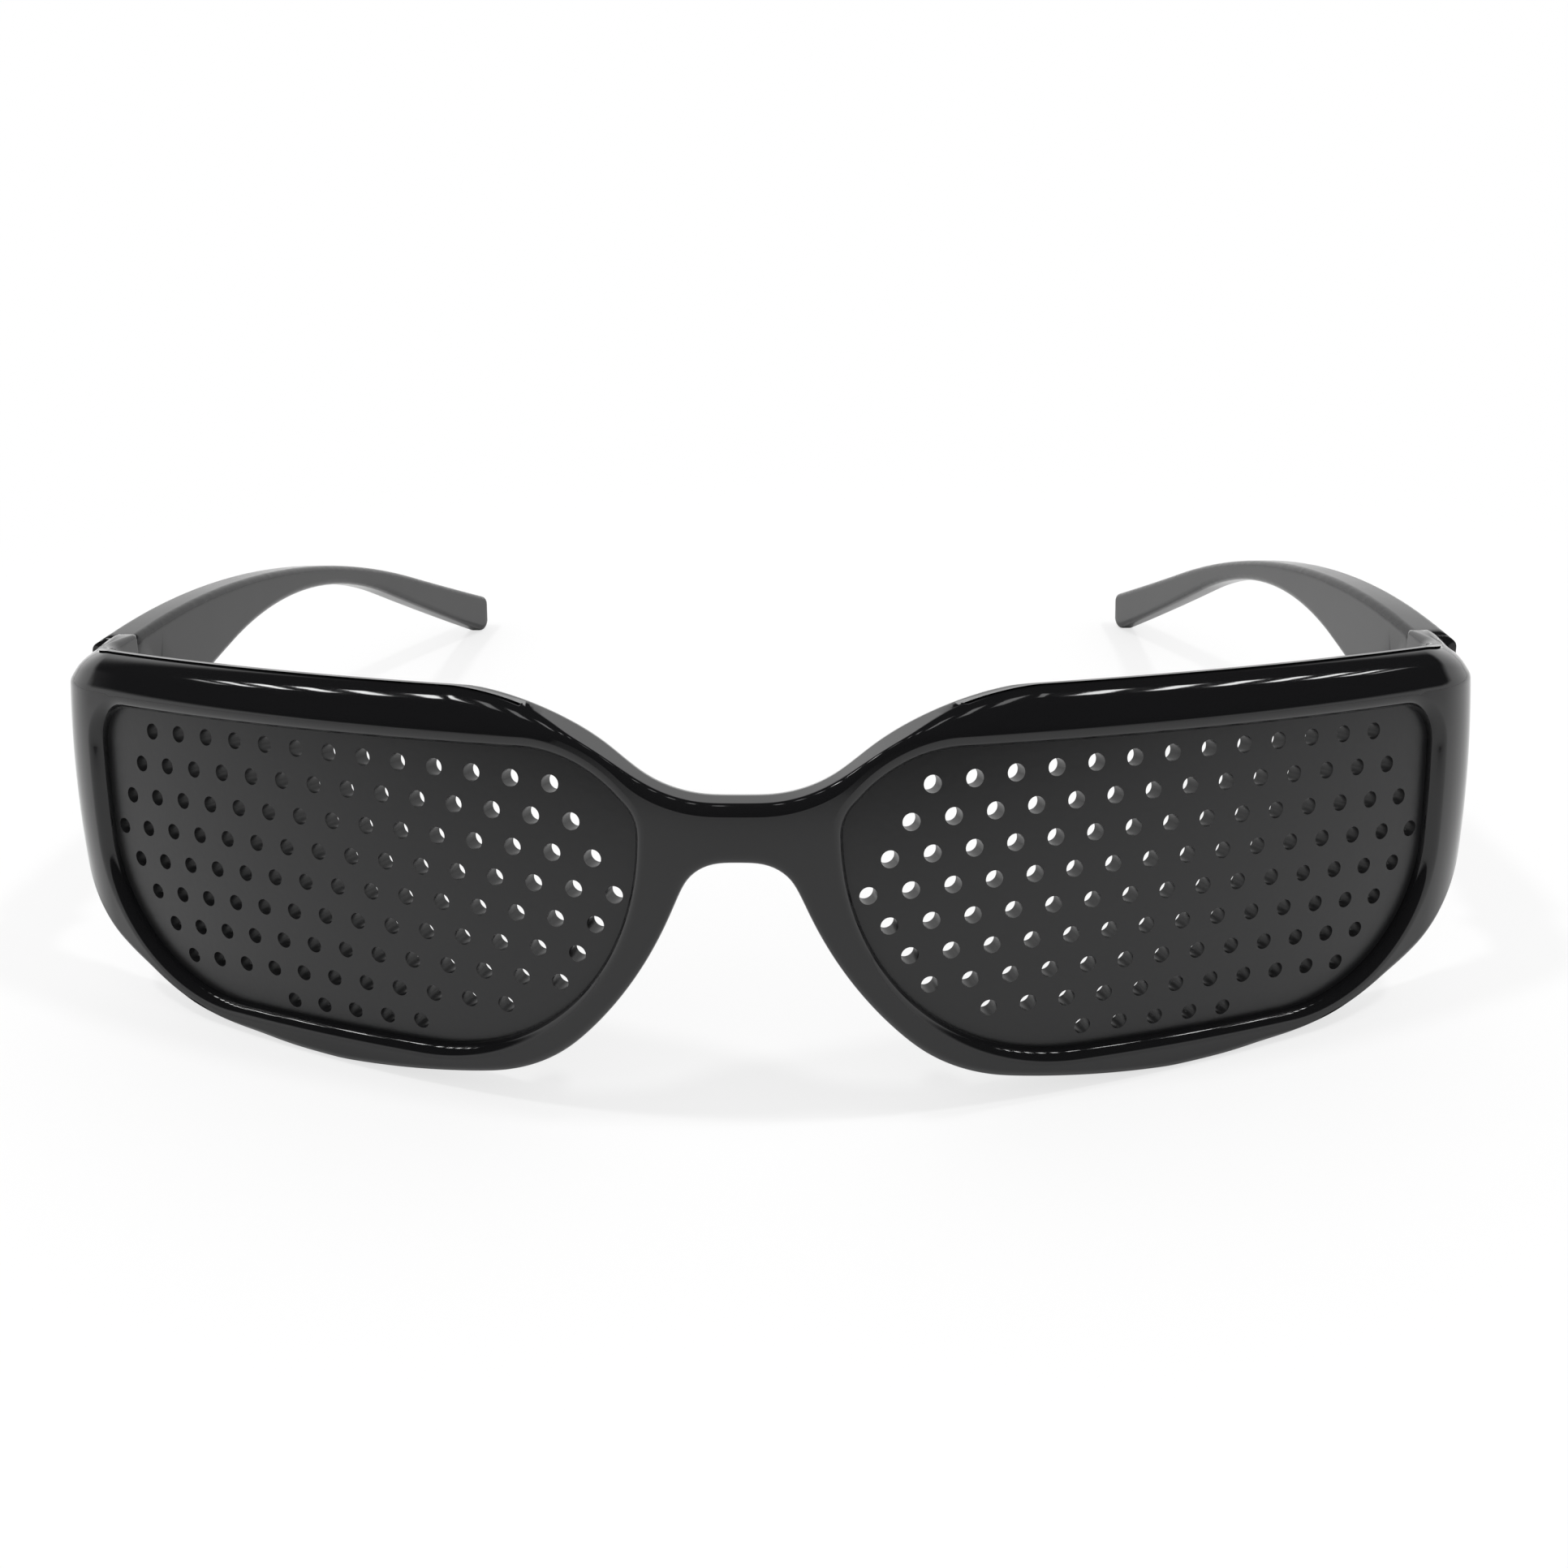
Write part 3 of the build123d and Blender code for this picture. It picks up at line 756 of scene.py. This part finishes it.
def finishFront():
    points, normals, faces = makeFront()
    total = len(points)
    points = [tuple(point) for point in points]
    for side in (1, -1):
        padPoints, padFaces = makePad(side)
        first = len(points)
        points += padPoints
        faces += [tuple(first + corner for corner in face) for face in padFaces]
    mesh = bpy.data.meshes.new("frontMoulding")
    mesh.from_pydata([Vector(point) * 0.001 for point in points], [], faces)
    work = bmesh.new()
    work.from_mesh(mesh)
    bmesh.ops.recalc_face_normals(work, faces=work.faces)
    print("front moulding:", len(work.faces), "faces")
    work.to_mesh(mesh)
    work.free()
    mesh.polygons.foreach_set("use_smooth", [True] * len(mesh.polygons))
    own = [tuple(normal) for normal in normals] + [(0.0, 0.0, 0.0)] * (len(points) - total)
    mesh.normals_split_custom_set_from_vertices(own)
    mesh.materials.append(frameMaterial)
    piece = bpy.data.objects.new("frontMoulding", mesh)
    bpy.context.scene.collection.objects.link(piece)
    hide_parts("frame_front")
    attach(piece, "front")


finishFront()
print("front made")
for side in ("left", "right"):
    finishNode(side + "_lens", side + "PinholePlate", plateMaterial)
    finishNode(side + "_temple", side + "Temple", templeMaterial)
    finishNode(side + "_front_hinge_leaf", side + "FrontHingeLeaf", steelMaterial)
    finishNode(side + "_temple_hinge_leaf", side + "TempleHingeLeaf", steelMaterial)
    finishNode(side + "_hinge_screw", side + "HingeScrew", steelMaterial)
print("pieces made")


# A white table top that runs out of view and, far off, meets the white of the room
table = {
    "halfSize": 3.0,
    "color": (0.92, 0.92, 0.92),
    "roughness": 0.6,
    "specular": 0.2,
    "plainFrom": 0.10,
    "plainTo": 0.30,
    "plainNear": 0.7,
}


def makeTable():
    mesh = bpy.data.meshes.new("tableTop")
    half = table["halfSize"]
    corners = [(-half, -half, 0), (half, -half, 0), (half, half, 0), (-half, half, 0)]
    mesh.from_pydata(corners, [], [(0, 1, 2, 3)])
    top = bpy.data.objects.new("tableTop", mesh)
    bpy.context.scene.collection.objects.link(top)
    material, tree, shader, place = newMaterial("tableWhite", table["color"], table["specular"])
    shader.inputs["Roughness"].default_value = table["roughness"]
    away = addNode(tree, "ShaderNodeVectorMath", {"operation": "LENGTH"}, output=1, Vector=place)
    far = addNode(tree, "ShaderNodeMapRange", {"interpolation_type": "SMOOTHSTEP"}, Value=away,
                  From_Min=table["plainFrom"], From_Max=table["plainTo"], To_Min=table["plainNear"])
    rays = tree.nodes.new("ShaderNodeLightPath")
    seen = Socket(tree, rays.outputs["Is Camera Ray"])
    glow = tree.nodes.new("ShaderNodeEmission")
    mix = tree.nodes.new("ShaderNodeMixShader")
    feed(tree, mix.inputs["Fac"], far * seen)
    tree.links.new(shader.outputs[0], mix.inputs[1])
    tree.links.new(glow.outputs[0], mix.inputs[2])
    tree.links.new(mix.outputs[0], tree.nodes["Material Output"].inputs["Surface"])
    mesh.materials.append(material)


makeTable()

# The room: white round the horizon, darker overhead in front
room = {
    "diffuseStrength": 0.75,
    "whiteStrength": 1.0,
    "darkStrength": 0.015,
    "darkFrom": 0.22,
    "darkTo": 0.38,
    "darkLean": 0.35,
    "leastUp": 0.05,
    "rowBack": 0.3,
    "rowWidth": 0.1,
    "rowCore": 0.06,
    "rowStart": 0.4,
    "rowFull": 0.52,
    "rowFade": 1.15,
    "rowEnd": 1.35,
    "rowFaint": 0.15,
    "lampPitch": 0.13,
    "lampHalf": 0.026,
    "lampCore": 0.0208,
    "lampStrength": 17.0,
}


def makeRoom():
    world = bpy.data.worlds.new("room")
    bpy.context.scene.world = world
    world.use_nodes = True
    tree = world.node_tree
    tree.nodes.clear()
    direction = addNode(tree, "ShaderNodeTexCoord", output=0)
    parts = tree.nodes.new("ShaderNodeSeparateXYZ")
    feed(tree, parts.inputs[0], direction)
    back = Socket(tree, parts.outputs[1])
    up = Socket(tree, parts.outputs[2])
    height = up - back * room["darkLean"]
    seen = addNode(tree, "ShaderNodeMapRange", {"interpolation_type": "SMOOTHSTEP"}, Value=height,
                   From_Min=room["darkFrom"], From_Max=room["darkTo"], To_Min=room["whiteStrength"],
                   To_Max=room["darkStrength"])
    # A row of small ceiling lamps behind the glasses, seen only in their gloss
    across = Socket(tree, parts.outputs[0])
    ceiling = up.maths("MAXIMUM", up, room["leastUp"])
    offRow = up.maths("ABSOLUTE", up.maths("DIVIDE", back, ceiling) - room["rowBack"])
    inRow = addNode(tree, "ShaderNodeMapRange", Value=offRow, From_Min=room["rowCore"],
                    From_Max=room["rowWidth"], To_Min=1.0, To_Max=0.0)
    sideways = up.maths("DIVIDE", across, ceiling)
    place = up.maths("PINGPONG", sideways, room["lampPitch"] / 2)
    lit = addNode(tree, "ShaderNodeMapRange", Value=place, From_Min=room["lampCore"],
                  From_Max=room["lampHalf"], To_Min=1.0, To_Max=0.0)
    # The lamps are brighter out to the sides than in the middle
    outward = up.maths("ABSOLUTE", sideways)
    share = addNode(tree, "ShaderNodeMapRange", Value=outward, From_Min=room["rowStart"],
                    From_Max=room["rowFull"], To_Min=room["rowFaint"], To_Max=1.0)
    ends = addNode(tree, "ShaderNodeMapRange", Value=outward, From_Min=room["rowFade"],
                   From_Max=room["rowEnd"], To_Min=1.0, To_Max=0.0)
    seen = seen + inRow * lit * share * ends * room["lampStrength"]
    rays = tree.nodes.new("ShaderNodeLightPath")
    camera = Socket(tree, rays.outputs["Is Camera Ray"])
    glossy = Socket(tree, rays.outputs["Is Glossy Ray"])
    through = Socket(tree, rays.outputs["Is Transmission Ray"])
    plain = 1 - glossy - camera - through
    strength = camera * room["whiteStrength"] + (glossy + through) * seen + plain * room["diffuseStrength"]
    background = tree.nodes.new("ShaderNodeBackground")
    background.inputs["Color"].default_value = (1, 1, 1, 1)
    feed(tree, background.inputs["Strength"], strength)
    output = tree.nodes.new("ShaderNodeOutputWorld")
    tree.links.new(background.outputs[0], output.inputs[0])


makeRoom()

# Lamps overhead: place, size across in metres, strength in watts
lamps = (
    {"name": "ceilingLeft", "place": (-0.5, -0.1, 1.1), "size": 0.12, "watts": 3.5},
    {"name": "ceilingRight", "place": (0.55, -0.05, 1.1), "size": 0.12, "watts": 3.5},
)


def makeLamps():
    for lamp in lamps:
        light = bpy.data.lights.new(lamp["name"], "AREA")
        light.shape = "DISK"
        light.size = lamp["size"]
        light.energy = lamp["watts"]
        holder = bpy.data.objects.new(lamp["name"], light)
        bpy.context.scene.collection.objects.link(holder)
        holder.visible_glossy = False
        place = Vector(lamp["place"])
        holder.matrix_world = Matrix.Translation(place) @ place.to_track_quat("Z", "Y").to_matrix().to_4x4()


makeLamps()
print("room and lamps made")

# The camera, close in front of the glasses and looking down on them: metres and radians
view = {
    "place": (0.01007, -0.20045, 0.08714),
    "yaw": -0.048,
    "pitch": 0.406,
    "roll": -0.018,
    "focalPixels": 1860.0,
    "imagePixels": 1932.0,
    "sensor": 36.0,
    "clipStart": 0.01,
}


def makeCamera():
    yaw, pitch, roll = view["yaw"], view["pitch"], view["roll"]
    forward = Vector((sin(yaw) * cos(pitch), cos(yaw) * cos(pitch), -sin(pitch)))
    right = Vector((cos(yaw), -sin(yaw), 0))
    up = right.cross(forward)
    turnedRight = right * cos(roll) + up * sin(roll)
    turnedUp = up * cos(roll) - right * sin(roll)
    data = bpy.data.cameras.new("photoCamera")
    data.sensor_width = view["sensor"]
    data.lens = view["focalPixels"] / view["imagePixels"] * view["sensor"]
    data.clip_start = view["clipStart"]
    camera = bpy.data.objects.new("photoCamera", data)
    bpy.context.scene.collection.objects.link(camera)
    turn = Matrix((turnedRight, turnedUp, -forward)).transposed().to_4x4()
    camera.matrix_world = Matrix.Translation(view["place"]) @ turn
    bpy.context.scene.camera = camera


makeCamera()
bpy.context.scene.view_settings.view_transform = "Standard"

print("scene made")
